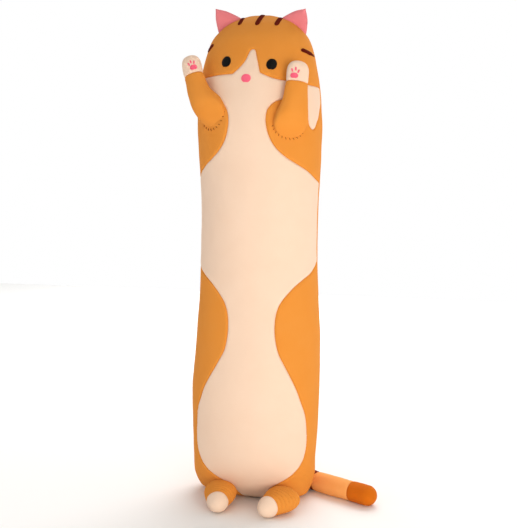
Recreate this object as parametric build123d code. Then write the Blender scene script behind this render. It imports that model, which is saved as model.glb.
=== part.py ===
from build123d import *
import os
from math import atan2, cos, degrees, hypot, radians, sin

# A long stuffed toy cat that stands upright on its flattened base, with its short legs in front of it
# and its tail on the floor behind and beside it. It is a bolster: a front made of a cream belly piece
# and orange patches, one plain orange back, and a fibre filling. Arms, legs, ears and tail are small
# stuffed pieces sewn on. The cat faces -Y, and its own left side is +X. Units are millimetres and degrees.
# The base rests on Z = 0, and the origin is the centre of the resting face.

# ---------------------------------------------------------------- driving dimensions
CLOTH = 1.2  # plush cloth with its short pile
CRUSHED_CLOTH = 0.4  # the same cloth where the toy's weight presses it on the floor
EMBROIDERY = 0.8  # how far the stitched features stand proud of the cloth
THREAD = 1.0  # diameter of the strong sewing thread

# The bolster's level sections: height, half width, half depth.
BODY_SECTIONS = [
    (0, 100, 38),
    (5, 110, 60),
    (15, 119, 80),
    (45, 128, 102),
    (90, 132, 113),
    (150, 135, 117),
    (240, 137, 119),
    (330, 134, 117),
    (430, 129, 113),
    (540, 127, 112),
    (650, 128, 112),
    (740, 133, 113),
    (800, 135, 112),
    (850, 132, 107),
    (900, 127, 98),
    (945, 118, 83),
    (980, 105, 66),
    (1005, 81, 44),
    (1022, 56, 22),
    (1032, 40, 6),
]
REACH = 160  # further out than any point of the bolster

# The waist, where the bolster folds.
WAIST_HEIGHT = 632
WAIST_GAP = 0.6  # from the fold line to each half's filling
FOLD_FORWARD = 45
FOLD_BACK = 20
FOLD_MARGIN = 4

# The belly patches sit a few degrees round from the face, because the filled bolster is slightly wrung.
TWIST = 6.5
TWIST_TOP, TWIST_BOTTOM = 720, 490
# The face is sewn on slightly tilted, about the nose.
FACE_TILT = 5
NOSE_HEIGHT = 884

# Patch edges on the cat's left half, as (degrees from the front's centre line, height).
SHOULDER_INNER_EDGE = [
    (90, 683),
    (64, 702),
    (47, 714),
    (35, 727),
    (26, 742),
    (20.5, 762),
    (17, 790),
    (17.5, 814),
    (22, 835),
    (31, 842),
    (46, 834),
    (60, 810),
    (67, 786),
]
SHOULDER_OUTER_EDGE = [(67, 786), (77, 811), (90, 837)]
HIP_EDGE = [
    (90, 511),
    (70, 495),
    (52, 476),
    (38, 454),
    (27, 430),
    (23, 405),
    (21.5, 370),
    (24.5, 333),
    (31, 302),
    (43, 256),
    (54, 209),
    (60, 165),
    (61, 135),
    (57, 98),
    (46, 72),
    (30, 52),
    (18, 36),
    (15, 18),
]
# Lower edge of the orange mask, as (distance from the centre line, height above the nose), from the
# tip of the white blaze outwards.
BLAZE_EDGE = [(0, 63), (4.5, 56), (11.5, 41), (18, 28), (25, 17), (36, 7.5)]
CHEEK_EDGE = [(36, 7.5), (62, 3), (95, 1.5), (150, 3)]

EYE_SPREAD, EYE_RISE, EYE_RADIUS = 48, 33, 12
NOSE_HALF_WIDTH, NOSE_HALF_HEIGHT = 11, 9
CROWN_STRIPE_X = [-39, 2, 43]
CROWN_STRIPE_WIDTHS = [7.5, 10, 8]
CROWN_STRIPE_LOW, CROWN_STRIPE_BACK_LOW = 1003, 1012
CROWN_STRIPE_SLOT, CROWN_STRIPE_LEAN = 100, 11
CHEEK_STRIPE_START, CHEEK_STRIPE_END = (95, 73), (128, 66)
CHEEK_STRIPE_WIDTH = 8

# Arms: a stuffed tube, wide and flattish where it is sewn to the shoulder and round at the paw.
# Its sections: distance along it from the shoulder's centre, half width, half thickness.
ARM_SECTIONS = [
    (-39, 5, 3),
    (-36, 17, 10),
    (-28, 28, 17),
    (-14, 36.5, 22.5),
    (2, 39, 24),
    (20, 37, 24),
    (38, 31.5, 23.5),
    (56, 26, 22.5),
    (74, 23.5, 22),
    (92, 23, 21.5),
    (106, 21, 19.5),
    (115, 16.5, 15.5),
    (121, 10, 9.5),
    (124, 3.5, 3),
]
ARM_ANGLE, ARM_TWIST = 30, 3  # round from the front's centre line
ARM_HEIGHT = {"right": 808, "left": 799}
ARM_GAP = 2
ARM_LEAN = {"right": 24, "left": 9}  # degrees sideways
CUFF = 74  # from the shoulder's centre to the paw's seam
PAW_FACING = {"right": 14, "left": -3}  # degrees round from the front that the pads face
PAD_AT, PAD_HALF_WIDTH, PAD_HALF_HEIGHT = 90, 8.5, 6.5
TOE_REACH, TOE_HALF_WIDTH, TOE_HALF_HEIGHT, TOE_FAN = 12.5, 2, 4, 32
ARM_SEAM_RADIUS, ARM_SEAM_LIFT = 14, 1.2

# Legs: short stuffed tubes lying forward on the floor, wide where they are sewn to the bolster.
# Their sections: distance along the leg from its root's centre, half width, half height.
LEG_SECTIONS = [
    (-14, 6, 4),
    (-12, 19, 12),
    (-6, 32, 20),
    (4, 40, 25.5),
    (14, 38.5, 25.8),
    (26, 31, 24.5),
    (38, 24.5, 22.5),
    (50, 21.5, 21),
    (60, 19.5, 19),
    (68, 14, 13.5),
    (73, 5, 5),
]
LEG_ROOT = {"right": (-56, -115), "left": (73, -111)}
LEG_TOE = {"right": (-36, -163), "left": (49, -157)}
LEG_ROOT_HEIGHT, LEG_TOE_HEIGHT = 26.8, 21.6
FOOT_SEAM = 38  # from the root's centre to the foot's seam

# Tail: a round tube lying on the floor, from the middle of the back round the side to the cat's left.
TAIL_RADIUS = 20.5
TAIL_PATH = [(14, 117), (75, 99), (132, 59), (243, -14)]
TAIL_SEAMS = [0.29, 0.497, 0.852]  # shares of the length from the root

# Ears: padded triangles on the head's top seam.
EAR_X, EAR_Z, EAR_SLOPE = 70, 1011, 38
EAR_LIFT = 6.5  # from the head's seam to the ear's lower edge
EAR_HALF_BASE, EAR_HEIGHT, EAR_TIP_RADIUS = 25, 38, 4
EAR_PADDING = 5

# The hand-sewn closing seam in the back.
CLOSING_LOW, CLOSING_HIGH, STITCH_PITCH, STITCH_LENGTH = 300, 460, 10, 6

SIDES = {"right": -1, "left": 1}


# ---------------------------------------------------------------- helpers
def section_at(height):
    """Half width and half depth of the bolster at a height."""
    for (z0, w0, d0), (z1, w1, d1) in zip(BODY_SECTIONS, BODY_SECTIONS[1:]):
        if height <= z1:
            share = max(0, (height - z0) / (z1 - z0))
            return w0 + share * (w1 - w0), d0 + share * (d1 - d0)
    return BODY_SECTIONS[-1][1:]


def twist_at(height):
    share = min(1, max(0, (TWIST_TOP - height) / (TWIST_TOP - TWIST_BOTTOM)))
    return TWIST * share * share * (3 - 2 * share)


def front_point(side, angle, height):
    """Where a patch's edge point lies, seen from the front."""
    if angle >= 90:
        return side * REACH, height
    turn = radians(side * angle + twist_at(height))
    return section_at(height)[0] * sin(turn), height


def face_point(across, up):
    """A point of the face pattern, seen from the front, after its tilt."""
    c, s = cos(radians(FACE_TILT)), sin(radians(FACE_TILT))
    return across * c + up * s, NOSE_HEIGHT - across * s + up * c


def lofted(sections, inset, bottom=None):
    """A form through level ellipses, smaller all round by inset; bottom sets the lowest level."""
    faces = []
    for z, width, depth in sections:
        level = z
        if z == sections[0][0]:
            level = z + inset if bottom is None else bottom
        if z == sections[-1][0]:
            level = z - inset
        faces.append(Plane.XY.offset(level) * Ellipse(width - inset, depth - inset))
    return loft(faces)


def seen_from_front(wire_points_and_curves):
    """A prism through the front half, from a closed outline drawn in the X-Z plane."""
    return extrude(make_face(Plane.XZ * wire_points_and_curves), REACH, dir=(0, -1, 0))


def save(name, shape):
    solids = shape.solids()
    export_step(Compound(children=solids) if len(solids) > 1 else solids[0], f"parts/{name}.step")


# ---------------------------------------------------------------- the bolster's covers and filling
def shoulder_prism(side):
    inner = [front_point(side, a, z) for a, z in SHOULDER_INNER_EDGE]
    outer = [front_point(side, a, z) for a, z in SHOULDER_OUTER_EDGE]
    entry = front_point(side, 89, SHOULDER_INNER_EDGE[0][1] - 4)
    edge = Polyline(inner[0], entry) + Spline(entry, *inner[1:]) + Spline(*outer[:-1], outer[-1])
    return seen_from_front(edge + Line(outer[-1], inner[0]))


def hip_prism(side):
    edge = [front_point(side, a, z) for a, z in HIP_EDGE]
    entry = front_point(side, 89, HIP_EDGE[0][1])
    foot = (edge[-1][0], -10)
    outline = Polyline(edge[0], entry) + Spline(entry, *edge[1:])
    outline += Polyline(edge[-1], foot, (side * REACH, -10), edge[0])
    return seen_from_front(outline)


def mask_prism():
    outline = None
    for side in SIDES.values():
        blaze = [face_point(side * u, v) for u, v in BLAZE_EDGE]
        cheek = [face_point(side * u, v) for u, v in CHEEK_EDGE]
        half = Spline(*blaze) + Spline(*cheek)
        outline = half if outline is None else outline + half
    top = 1100
    left = face_point(CHEEK_EDGE[-1][0], CHEEK_EDGE[-1][1])
    right = face_point(-CHEEK_EDGE[-1][0], CHEEK_EDGE[-1][1])
    return seen_from_front(outline + Polyline(left, (left[0], top), (right[0], top), right))


def front_half():
    return Pos(0, -REACH, 500) * Box(4 * REACH, 2 * REACH, 1400)


def build_covers(outer, inner):
    cover = outer - inner
    front = cover & front_half()
    save("back_panel", cover - front_half())
    mask = mask_prism()
    save("head_front_panel", front & mask)
    belly = front - mask
    for name, side in SIDES.items():
        shoulder, hip = shoulder_prism(side), hip_prism(side)
        save(f"{name}_shoulder_panel", front & shoulder)
        save(f"{name}_hip_panel", front & hip)
        belly = belly - shoulder - hip
    save("belly_panel", belly)


def half_wedge(direction):
    """The space above (+1) or below (-1) the fold, which opens at the front and the back."""
    front_rise = tangent((FOLD_FORWARD + FOLD_MARGIN) / 2) * REACH
    back_rise = tangent((FOLD_BACK + FOLD_MARGIN) / 2) * REACH
    far = 700
    points = [
        (0, WAIST_HEIGHT + direction * WAIST_GAP),
        (REACH, WAIST_HEIGHT + direction * (WAIST_GAP + back_rise)),
        (REACH, WAIST_HEIGHT + direction * far),
        (-REACH, WAIST_HEIGHT + direction * far),
        (-REACH, WAIST_HEIGHT + direction * (WAIST_GAP + front_rise)),
    ]
    return extrude(Plane.YZ * make_face(Polyline(*points, close=True)), REACH, both=True)


def tangent(angle):
    return sin(radians(angle)) / cos(radians(angle))


def build_filling(inner):
    upper, lower = inner & half_wedge(1), inner & half_wedge(-1)
    save("upper_body_filling", upper)
    save("lower_body_filling", lower)
    save("waist_filling", inner - half_wedge(1) - half_wedge(-1))


# ---------------------------------------------------------------- face and markings
def build_face(outer):
    thread_top = lofted(BODY_SECTIONS, -EMBROIDERY)

    def stitched(shape):
        return (thread_top & extrude(Plane.XZ * shape, REACH)) - outer

    for name, side in SIDES.items():
        x, z = face_point(side * EYE_SPREAD, EYE_RISE)
        save(f"{name}_eye", stitched(Pos(x, z) * Circle(EYE_RADIUS)))
    x, z = face_point(0, 0)
    save("nose", stitched(Pos(x, z) * Ellipse(NOSE_HALF_WIDTH, NOSE_HALF_HEIGHT)))

    stripes = []
    half = CROWN_STRIPE_SLOT / 2
    across, up = half * sin(radians(CROWN_STRIPE_LEAN)), half * cos(radians(CROWN_STRIPE_LEAN))
    for x, width in zip(CROWN_STRIPE_X, CROWN_STRIPE_WIDTHS):
        slot = SlotOverall(CROWN_STRIPE_SLOT, width, rotation=90 - CROWN_STRIPE_LEAN)
        front = Plane.XZ * Pos(x + across, CROWN_STRIPE_LOW + up) * slot
        back = Plane.XZ * Pos(x + across, CROWN_STRIPE_BACK_LOW + up) * slot
        band = extrude(front, REACH) + extrude(back, -REACH)
        stripes += ((thread_top & band) - outer).solids()
    save("crown_stripes", Compound(children=stripes))

    stripes = []
    for side in SIDES.values():
        start = face_point(side * CHEEK_STRIPE_START[0], CHEEK_STRIPE_START[1])
        end = face_point(side * CHEEK_STRIPE_END[0], CHEEK_STRIPE_END[1])
        long = hypot(end[0] - start[0], end[1] - start[1])
        slope = degrees(atan2(end[1] - start[1], end[0] - start[0]))
        middle = Pos((start[0] + end[0]) / 2, (start[1] + end[1]) / 2)
        slot = middle * SlotCenterToCenter(long, CHEEK_STRIPE_WIDTH, rotation=slope)
        stripes += stitched(slot).solids()
    save("cheek_stripes", Compound(children=stripes))


# ---------------------------------------------------------------- arms
def build_pod(names, place, sections, seam):
    """Sleeve, end cover and filling of an arm or a leg; returns a skin over it for stitched features."""
    outer = lofted(sections, 0)
    inner = lofted(sections, CLOTH)
    sleeve_zone = Pos(0, 0, seam - 100) * Box(200, 200, 200)
    cover = outer - inner
    save(names[0], place * (cover & sleeve_zone))
    save(names[1], place * (cover - sleeve_zone))
    save(names[2], place * inner)
    return outer


def shoulder_frame(name):
    """The point on the bolster where an arm is sewn on, and the outward normal there."""
    height, step = ARM_HEIGHT[name], 20
    width, depth = section_at(height)
    turn = radians(SIDES[name] * ARM_ANGLE + ARM_TWIST)
    wider = (section_at(height - step)[0] - section_at(height + step)[0]) / (2 * step)
    point = Vector(width * sin(turn), -depth * cos(turn), height)
    normal = Vector(sin(turn) / width, -cos(turn) / depth, wider / width).normalized()
    return point, normal


def arm_planes(name):
    """The arm's frame, origin at the shoulder's centre, +Z along the arm and +Y away from the
    bolster, and the same frame turned about +Z so that its +X is the way the pads face."""
    side = SIDES[name]
    point, normal = shoulder_frame(name)
    level = Vector(-normal.Y, normal.X, 0).normalized() * side
    rise = normal.cross(level) if side < 0 else level.cross(normal)
    rise = rise if rise.Z > 0 else -rise
    lean = radians(ARM_LEAN[name])
    along = rise * cos(lean) + level * sin(lean)
    thickness = max(section[2] for section in ARM_SECTIONS)
    origin = point + normal * (thickness + ARM_GAP)
    facing = radians(PAW_FACING[name])
    pads_way = Vector(sin(facing), -cos(facing), 0)
    pads_way = pads_way - along * pads_way.dot(along)
    arm = Plane(origin=origin, x_dir=normal.cross(along), z_dir=along)
    return arm, Plane(origin=origin, x_dir=pads_way, z_dir=along)


def pad_tool(across, up, half_width, half_height, lean=0):
    """A bar along local +X that cuts one pad out of the paw's skin."""
    shape = Plane.YZ * Pos(across, PAD_AT + up) * Rot(0, 0, lean) * Ellipse(half_width, half_height)
    return extrude(shape, REACH)


def build_arm(name):
    arm, pads_frame = arm_planes(name)
    nodes = [f"{name}_arm_sleeve", f"{name}_paw_cover", f"{name}_arm_filling"]
    outer = build_pod(nodes, arm.location, ARM_SECTIONS, CUFF)
    outer = arm.location * outer
    thread_top = arm.location * lofted(ARM_SECTIONS, -EMBROIDERY)
    tools = [pad_tool(0, 0, PAD_HALF_WIDTH, PAD_HALF_HEIGHT)]
    for lean in (-TOE_FAN, 0, TOE_FAN):
        across, up = -TOE_REACH * sin(radians(lean)) * 0.8, TOE_REACH * cos(radians(lean))
        tools.append(pad_tool(across, up, TOE_HALF_WIDTH, TOE_HALF_HEIGHT, lean))
    pads = []
    for tool in tools:
        pads += ((thread_top & (pads_frame.location * tool)) - outer).solids()
    save(f"{name}_paw_pads", Compound(children=pads))

    point, normal = shoulder_frame(name)
    ring = Plane(origin=point + normal * ARM_SEAM_LIFT, z_dir=normal).location
    save(f"{name}_arm_seam_thread", ring * Torus(ARM_SEAM_RADIUS, THREAD / 2))


# ---------------------------------------------------------------- legs
def build_leg(name):
    root = Vector(*LEG_ROOT[name], LEG_ROOT_HEIGHT)
    toe = Vector(*LEG_TOE[name], LEG_TOE_HEIGHT)
    along = (toe - root).normalized()
    place = Plane(origin=root, x_dir=along.cross(Vector(0, 0, 1)), z_dir=along).location
    nodes = [f"{name}_leg_sleeve", f"{name}_foot_cover", f"{name}_leg_filling"]
    build_pod(nodes, place, LEG_SECTIONS, FOOT_SEAM)


# ---------------------------------------------------------------- tail
def tail_solid(radius, start, end, round_root=False, round_tip=False):
    """A stretch of the tail's tube between two shares of its length, with a ball on a rounded end."""
    path = Pos(0, 0, TAIL_RADIUS) * Spline(*TAIL_PATH)
    stretch = path.trim(start, end)
    face = Plane(origin=stretch @ 0, z_dir=stretch % 0) * Circle(radius)
    tube = sweep(face, stretch)
    if round_root:
        tube += Pos(stretch @ 0) * Sphere(radius)
    if round_tip:
        tube += Pos(stretch @ 1) * Sphere(radius)
    return tube


def build_tail():
    inner = tail_solid(TAIL_RADIUS - CLOTH, 0, 1, True, True)
    names = ["tail_root_sleeve", "tail_band", "tail_middle_sleeve", "tail_tip_cover"]
    cuts = [0, *TAIL_SEAMS, 1]
    for i, name in enumerate(names):
        first, last = i == 0, i == len(names) - 1
        save(name, tail_solid(TAIL_RADIUS, cuts[i], cuts[i + 1], first, last) - inner)
    save("tail_filling", inner)


# ---------------------------------------------------------------- ears
def ear_outline():
    """A triangle with bowed sides and a rounded tip, base on the local X axis."""
    tip = (0, EAR_HEIGHT)
    low_left, low_right = (-EAR_HALF_BASE, 0), (EAR_HALF_BASE, 0)
    bow_left = (-EAR_HALF_BASE * 0.62, EAR_HEIGHT * 0.52)
    bow_right = (EAR_HALF_BASE * 0.62, EAR_HEIGHT * 0.52)
    sides = ThreePointArc(low_left, bow_left, tip) + ThreePointArc(tip, bow_right, low_right)
    face = make_face(sides + Line(low_right, low_left))
    return fillet(face.vertices().sort_by(Axis.Y)[-1], EAR_TIP_RADIUS)


def build_ear(name):
    side = SIDES[name]
    slope = radians(EAR_SLOPE)
    up = Vector(side * sin(slope), 0, cos(slope))
    base = Vector(side * EAR_X, 0, EAR_Z) + up * EAR_LIFT
    # Local Z of the ear's frame is forwards, so its local X runs along the base.
    frame = Plane(origin=base, x_dir=up.cross(Vector(0, -1, 0)), z_dir=(0, -1, 0))
    half = EAR_PADDING / 2
    for node, low, high in (("ear_padding", -half, half), ("ear_front", half, half + CLOTH),
                            ("ear_back", -half - CLOTH, -half)):
        slab = extrude(Pos(0, 0, low) * ear_outline(), high - low)
        save(f"{name}_{node}", frame.location * slab)


# ---------------------------------------------------------------- closing seam
def build_closing_seam():
    stitches = []
    height = CLOSING_LOW
    while height <= CLOSING_HIGH:
        depth = section_at(height)[1]
        bar = Rot(0, 90, 0) * Cylinder(THREAD / 2, STITCH_LENGTH)
        stitches.append(Pos(0, depth + THREAD, height) * bar)
        height += STITCH_PITCH
    save("closing_seam_thread", Compound(children=stitches))


os.makedirs("parts", exist_ok=True)
outer_form = lofted(BODY_SECTIONS, 0)
inner_form = lofted(BODY_SECTIONS, CLOTH, CRUSHED_CLOTH)
build_covers(outer_form, inner_form)
build_filling(inner_form)
build_face(outer_form)
for limb in SIDES:
    build_arm(limb)
    build_leg(limb)
    build_ear(limb)
build_tail()
build_closing_seam()
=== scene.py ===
from math import asin, ceil, cos, degrees, hypot, pi, radians, sin, sqrt

import bpy
import numpy as np
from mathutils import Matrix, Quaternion, Vector, geometry, kdtree, noise


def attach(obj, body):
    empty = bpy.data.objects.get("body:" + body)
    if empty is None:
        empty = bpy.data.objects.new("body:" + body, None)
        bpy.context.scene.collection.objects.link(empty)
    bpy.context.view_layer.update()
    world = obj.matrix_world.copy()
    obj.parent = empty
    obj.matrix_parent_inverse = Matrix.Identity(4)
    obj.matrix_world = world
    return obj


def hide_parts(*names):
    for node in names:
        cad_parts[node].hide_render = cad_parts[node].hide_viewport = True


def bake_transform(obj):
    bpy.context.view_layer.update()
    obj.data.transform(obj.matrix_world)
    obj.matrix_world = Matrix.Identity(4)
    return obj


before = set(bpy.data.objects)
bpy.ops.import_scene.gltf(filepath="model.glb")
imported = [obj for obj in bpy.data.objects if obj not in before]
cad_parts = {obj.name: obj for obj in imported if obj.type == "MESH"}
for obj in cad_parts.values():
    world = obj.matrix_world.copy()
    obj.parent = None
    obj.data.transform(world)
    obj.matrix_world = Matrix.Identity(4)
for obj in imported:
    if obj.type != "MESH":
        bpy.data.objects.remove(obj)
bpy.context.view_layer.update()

# ------------------------------------------------------------------ the bolster's form
# The toy is one long bag of short-pile plush, blown tight with polyester fibre. It is oval in
# section, swells at the hips and shoulders, and its foot is squashed flat by its own weight.
# All lengths are millimetres until a point is written to a mesh.
BOLSTER = np.array([
    (0, 1.2, 0.6),
    (0, 60, 24),
    (0, 99, 34),
    (4, 110, 43),
    (14, 122.5, 59),
    (45, 133.5, 87),
    (90, 134.5, 108.5),
    (150, 137.5, 117),
    (240, 139, 119),
    (330, 136, 117),
    (430, 130, 113),
    (540, 127, 112),
    (650, 128, 112),
    (740, 133, 113),
    (800, 135, 112),
    (850, 132, 107),
    (900, 127, 98),
    (945, 118, 83),
    (980, 105, 66),
    (1005, 83, 44),
    (1018, 65, 27),
    (1026, 47, 13),
    (1031, 28, 4.5),
    (1033, 12, 0.5),
], float)
SEAT = 0.6  # how much deeper the foot is behind its middle than before it
# how far the middle sits aside at each height, because the bag isn't sewn quite straight
SWAY = [(230, 0), (330, 4), (420, 3.5), (600, 3), (700, 2), (770, 0), (830, -2)]
UNROLL = 125.0  # the girth is unrolled at this radius to lay out the patches


def smooth_line(points, step, sharp=()):
    """A Catmull-Rom curve through the points, cut into steps; it has corners at the sharp indices."""
    p = np.array(points, float)
    cuts = sorted({0, len(p) - 1, *sharp})
    line = [p[0]]
    for first, last in zip(cuts, cuts[1:]):
        q = p[first:last + 1]
        q = np.vstack([2 * q[0] - q[1], q, 2 * q[-1] - q[-2]])
        for i in range(1, len(q) - 2):
            a, b, c, d = q[i - 1:i + 3]
            count = max(1, ceil(np.linalg.norm(c - b) / step))
            for k in range(1, count + 1):
                t = k / count
                line.append(0.5 * (2 * b + (c - a) * t + (2 * a - 5 * b + 4 * c - d) * t * t
                                   + (3 * b - a - 3 * c + d) * t ** 3))
    return np.array(line)


profile = smooth_line(BOLSTER, 2.0, sharp=(2,))
profile[:, 0] = np.maximum.accumulate(np.clip(profile[:, 0], 0, 1033))
run = np.hypot(np.diff(profile[:, 0]), np.hypot(np.diff(profile[:, 1]), np.diff(profile[:, 2])) / 1.3)
climb = np.concatenate([[0], np.cumsum(np.maximum(run, 1e-3))])
climb -= climb[np.searchsorted(profile[:, 0], 1e-6)]  # the climb is 0 at the foot's rim
TOP, FOOT = climb[-1], climb[0]


def climb_at(height):
    """How far up the bolster's side a height is, from the foot's rim."""
    return np.interp(height, profile[climb >= 0, 0], climb[climb >= 0])


def sway(height):
    return np.interp(height, *np.transpose(SWAY))


def on_form(turn, up):
    """Points of the bare form from angles round from the front (degrees) and climbs."""
    t = np.radians(turn)
    z, a, b = (np.interp(up, climb, profile[:, i]) for i in range(3))
    aside = sway(z)
    b = b * (1 + np.where(np.cos(t) < 0, SEAT, 0) * np.clip((110 - z) / 110, 0, 1) ** 2)
    return np.stack([a * np.sin(t) + aside, -b * np.cos(t), z], -1)


def form_normal(turn, up):
    d = 0.5
    round_it = on_form(turn + d, up) - on_form(turn - d, up)
    upward = on_form(turn, np.minimum(up + 1.5, TOP)) - on_form(turn, np.maximum(up - 1.5, FOOT))
    n = np.cross(round_it, upward)
    return n / np.maximum(np.linalg.norm(n, axis=-1, keepdims=True), 1e-9)


# ------------------------------------------------------------------ where the patches meet
# The front is pieced from a cream belly and orange head, shoulder and hip patches. The pattern is
# sewn with a slight wring, so below the chest it sits a few degrees round to the cat's left.
WRING = 5.2
SHOULDER_INNER = [(90, 679), (76, 686), (62, 699), (49, 711), (37, 724), (27.5, 740), (21, 760),
                  (17.5, 784), (17, 806), (19.5, 824), (26, 837), (35, 842), (48, 838), (57.5, 826),
                  (60, 811), (61.5, 796), (64, 788.5), (67.6, 785)]
SHOULDER_OUTER = [(67.6, 785), (71.2, 789), (75, 800), (83, 825), (90, 843)]
HIP = [(90, 512), (80, 501), (68, 489), (55, 477), (43, 462), (33, 443), (26.5, 425), (23, 404),
       (21.7, 380), (22.2, 354), (25, 326), (31, 301), (38, 274), (45, 247), (50.5, 222),
       (57, 194), (60, 165), (61, 135), (59.5, 108), (54, 86), (45, 69), (36, 57), (27, 46),
       (19, 33), (14, 14), (11, 0)]
FACE_AT, FACE_TILT = (-4.0, 884.0), 5.0  # the nose's place, and the whole face's tilt
BLAZE = {"right": [(3.8, 62.8), (0.4, 61.6), (-2.1, 58), (-4.9, 47.5), (-8.5, 35.8), (-18.4, 21),
                   (-30.3, 8.3)],
         "left": [(3.8, 62.8), (7.4, 62), (10, 59), (14.3, 47.6), (18.9, 36), (22.8, 25), (27, 14.2)]}
CHEEK = {"right": [(-30.3, 8.3), (-43, 6.9), (-55.7, 5.9), (-72.5, 4.2), (-90, 2.3), (-113, 1.5)],
         "left": [(27, 14.2), (39, 10), (50.3, 6.5), (64.1, 4), (84, 3), (113, 2)]}


TONGUE = {"right": 0.5, "left": 1.0}  # how far the cream tongue reaches down behind each arm


def tongue(points, name):
    return [(turn, 845 - (845 - height) * TONGUE[name]) if turn > 50 else (turn, height)
            for turn, height in points]


def wring_at(height):
    t = np.clip((720 - np.asarray(height, float)) / 240, 0, 1)
    return WRING * t * t * (3 - 2 * t)


def face_place(across, up):
    """Angle and climb of a point of the face's pattern."""
    c, s = cos(radians(FACE_TILT)), sin(radians(FACE_TILT))
    x, z = FACE_AT[0] + across * c + up * s, FACE_AT[1] - across * s + up * c
    a = np.interp(z, profile[:, 0], profile[:, 1])
    return degrees(asin(np.clip(x / a, -1, 1))), float(climb_at(z))


def seam(points, side, sharp=()):
    """A patch edge in the unrolled plane, dense, from (degrees, height) points of the left half."""
    places = []
    for turn, height in points:
        fade = min(1, (90 - turn) / 25)
        places.append((radians(side * turn + fade * float(wring_at(height))) * UNROLL,
                       float(climb_at(height))))
    return smooth_line(places, 2.5, sharp)


def straight(a, b, step=3.0):
    count = max(1, ceil(hypot(b[0] - a[0], b[1] - a[1]) / step))
    return np.array([[a[0] + (b[0] - a[0]) * k / count, a[1] + (b[1] - a[1]) * k / count]
                     for k in range(count + 1)])


edges = {}
for name, side in (("right", -1), ("left", 1)):
    edge_x = side * pi / 2 * UNROLL
    edges[name] = {
        "inner": seam(SHOULDER_INNER[:3] + tongue(SHOULDER_INNER[3:], name), side),
        "outer": seam(tongue(SHOULDER_OUTER, name), side),
        "hip": np.vstack([seam(HIP, side), straight(seam(HIP, side)[-1], (side * 4, FOOT))[1:]]),
        "x": edge_x,
    }
    blaze = [face_place(u, v) for u, v in BLAZE[name]]
    cheek = [face_place(u, v) for u, v in CHEEK[name]]
    line = [(radians(t) * UNROLL, m) for t, m in blaze + cheek[1:]]
    line.append((edge_x, line[-1][1] + 1))
    edges[name]["mask"] = smooth_line(line, 2.5, sharp=(len(blaze) - 1,))

seam_lines = [e[k] for e in edges.values() for k in ("inner", "outer", "hip", "mask")]
seam_lines += [straight((side * pi / 2 * UNROLL, climb_at(2)), (side * pi / 2 * UNROLL, TOP))
               for side in (-1, 1)]
seam_lines.append(straight((-pi / 2 * UNROLL, TOP), (pi / 2 * UNROLL, TOP)))
seam_points = kdtree.KDTree(sum(len(s) for s in seam_lines))
seam_run = []
for s in seam_lines:
    for k, (x, y) in enumerate(s):
        seam_points.insert((x, y, 0), len(seam_run))
        seam_run.append(k * 2.5)
seam_points.balance()

# ------------------------------------------------------------------ how the filled cover lies
# Sewing pulls every seam in, so the cover rounds over on both sides of it. The fibre is a little
# lumpy, and the cover gathers in soft folds above the legs and under the arms.
ROLL_DEEP, ROLL_WIDE = 2.3, 6.0  # how far the cover rounds in at a seam, and over what distance
PUCKER, LUMPS, SMALL_LUMPS = 0.55, 1.5, 0.55
HIP_FOLD_DEEP, ARM_FOLD_DEEP = 4.6, 1.3
LEG_FOLDS = {"right": (-30, 30), "left": (46, 26)}  # angle and climb that the folds circle
ARM_FOLDS = {"right": (-37, 789), "left": (37, 767)}


def lie_of_cover(turn, up, girth):
    """How far the cover stands off the bare form, for arrays of places."""
    out, off_seam = np.zeros(len(turn)), np.zeros(len(turn))
    p = on_form(turn, up)
    for i in range(len(turn)):
        x = radians(turn[i]) * UNROLL
        if abs(x) > pi / 2 * UNROLL:
            x_near = (pi * UNROLL - abs(x)) * (1 if x > 0 else -1)
            probe = (max(-1, min(1, x / (pi / 2 * UNROLL))) * pi / 2 * UNROLL, up[i], 0)
            where, index, _ = seam_points.find(probe)
            far = hypot(where[0] - probe[0], where[1] - probe[1]) + abs(abs(x) - pi / 2 * UNROLL)
        else:
            where, index, far = seam_points.find((x, up[i], 0))
        squeeze = max(0.15, girth[i] / UNROLL)
        far *= squeeze if abs(where[0] - x) > abs(where[1] - up[i]) else 1
        near = min(1.0, far / ROLL_WIDE)
        off_seam[i] = min(1.0, far / 16)
        out[i] -= ROLL_DEEP * (1 - sqrt(max(0.0, 1 - (1 - near) ** 2)))
        pucker = noise.noise((seam_run[index] / 7.0, index % 7 * 3.1, far / 9.0))
        out[i] += PUCKER * pucker * (2.718 ** (-far / 7.0)) * min(1, far / 1.5)
        out[i] += LUMPS * noise.noise(Vector(p[i]) / 95.0) + SMALL_LUMPS * noise.noise(Vector(p[i]) / 34.0)
    for name in ("right", "left"):
        at, climb_there = LEG_FOLDS[name]
        aside = (turn - at) * pi / 180 * 112
        above = up - climb_there
        ring = np.hypot(aside * 0.82, above)
        ridge = np.sqrt(np.abs(np.sin(ring / 11 * pi + 0.4 * np.sin(np.radians(turn * 9))))) - 1
        window = np.exp(-((ring - 58) / 19) ** 2) * np.clip((above + 12) / 22, 0, 1)
        on_hip = np.clip((np.abs(turn) - 40) / 16, 0, 1) * np.clip((95 - np.abs(turn)) / 20, 0, 1)
        out += HIP_FOLD_DEEP * ridge * window * on_hip * off_seam
        at, height = ARM_FOLDS[name]
        aside = (turn - at) * pi / 180 * 118
        below = climb_at(height) - up
        bow = below - aside ** 2 / 190
        lines = np.exp(-((bow - 2) / 3.5) ** 2) + 0.7 * np.exp(-((bow - 12) / 3.5) ** 2)
        out -= ARM_FOLD_DEEP * lines * np.exp(-(aside / 19) ** 4)
    floor_room = np.clip(p[:, 2] / 14, 0, 1)
    return out * floor_room


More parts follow.
